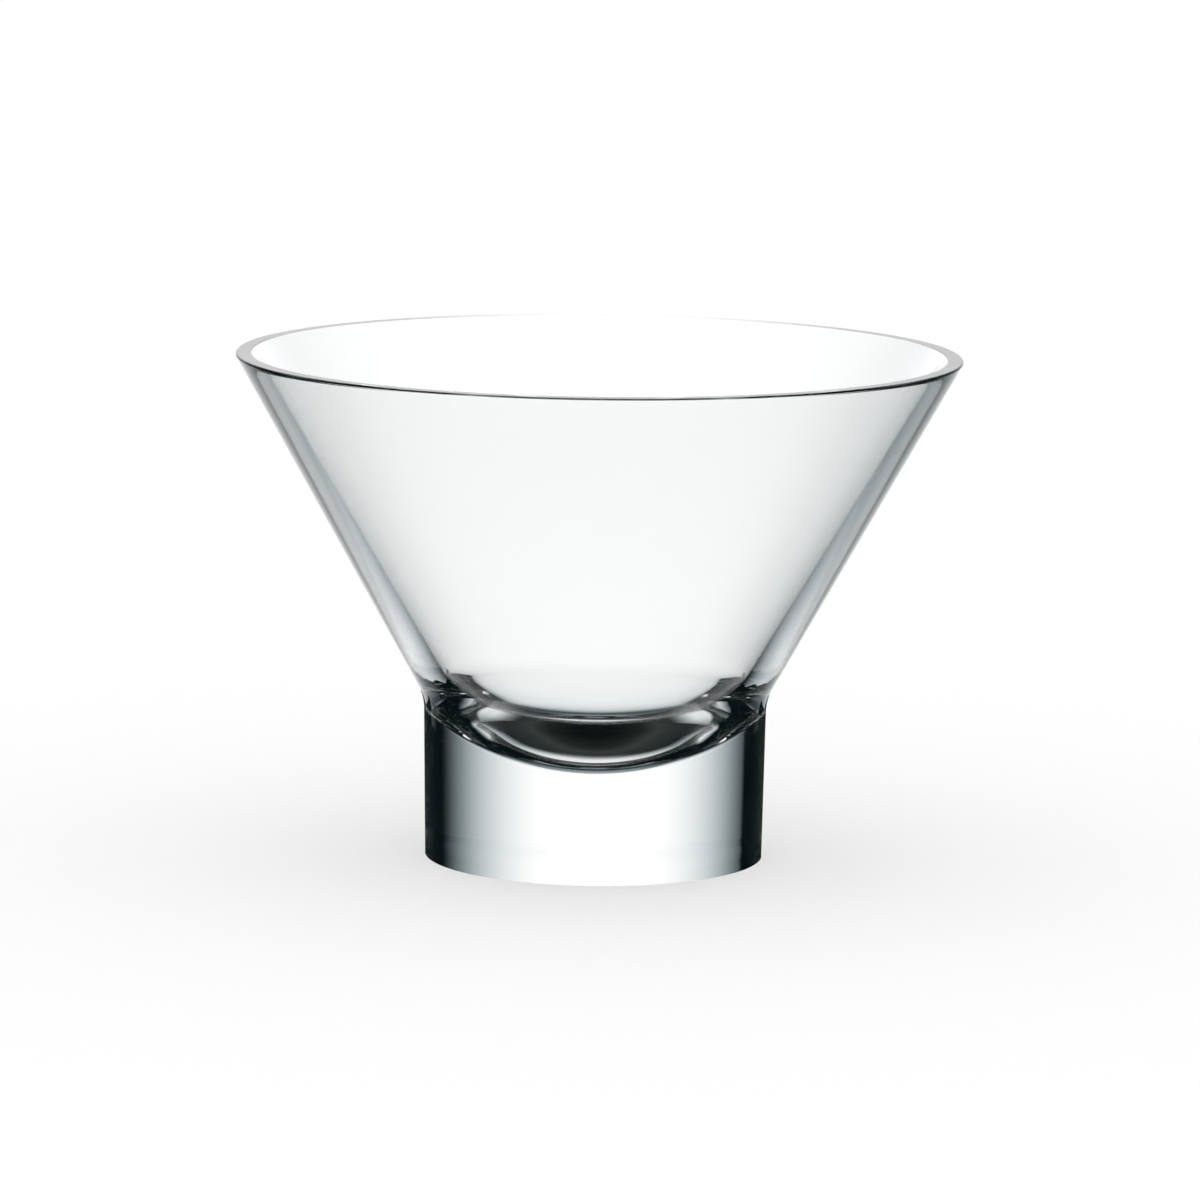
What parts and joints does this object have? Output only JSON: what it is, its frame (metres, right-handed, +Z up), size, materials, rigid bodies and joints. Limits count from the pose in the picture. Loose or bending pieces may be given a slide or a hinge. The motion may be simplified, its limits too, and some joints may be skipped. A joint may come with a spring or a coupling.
{
  "type": "dessert bowl",
  "caption": "Clear glass dessert bowl: a thick-walled conical bowl with a flat lip and rounded floor, on a heavy solid round foot, for serving ice cream, fruit or pudding.",
  "frame": {"origin": "centre of the underside, in the plane the foot stands on", "axes": "+Z up along the axis of revolution, out of the bowl's mouth; X and Y are level, and the part is the same all round"},
  "size_m": [0.126, 0.126, 0.088],
  "materials": {
    "clear_glass": "clear fire-polished glass, smooth and glossy, with a faint cool tint in the thick parts"
  },
  "bodies": {
    "root": {"bowl": "clear_glass", "foot": "clear_glass"}
  },
  "joints": []
}
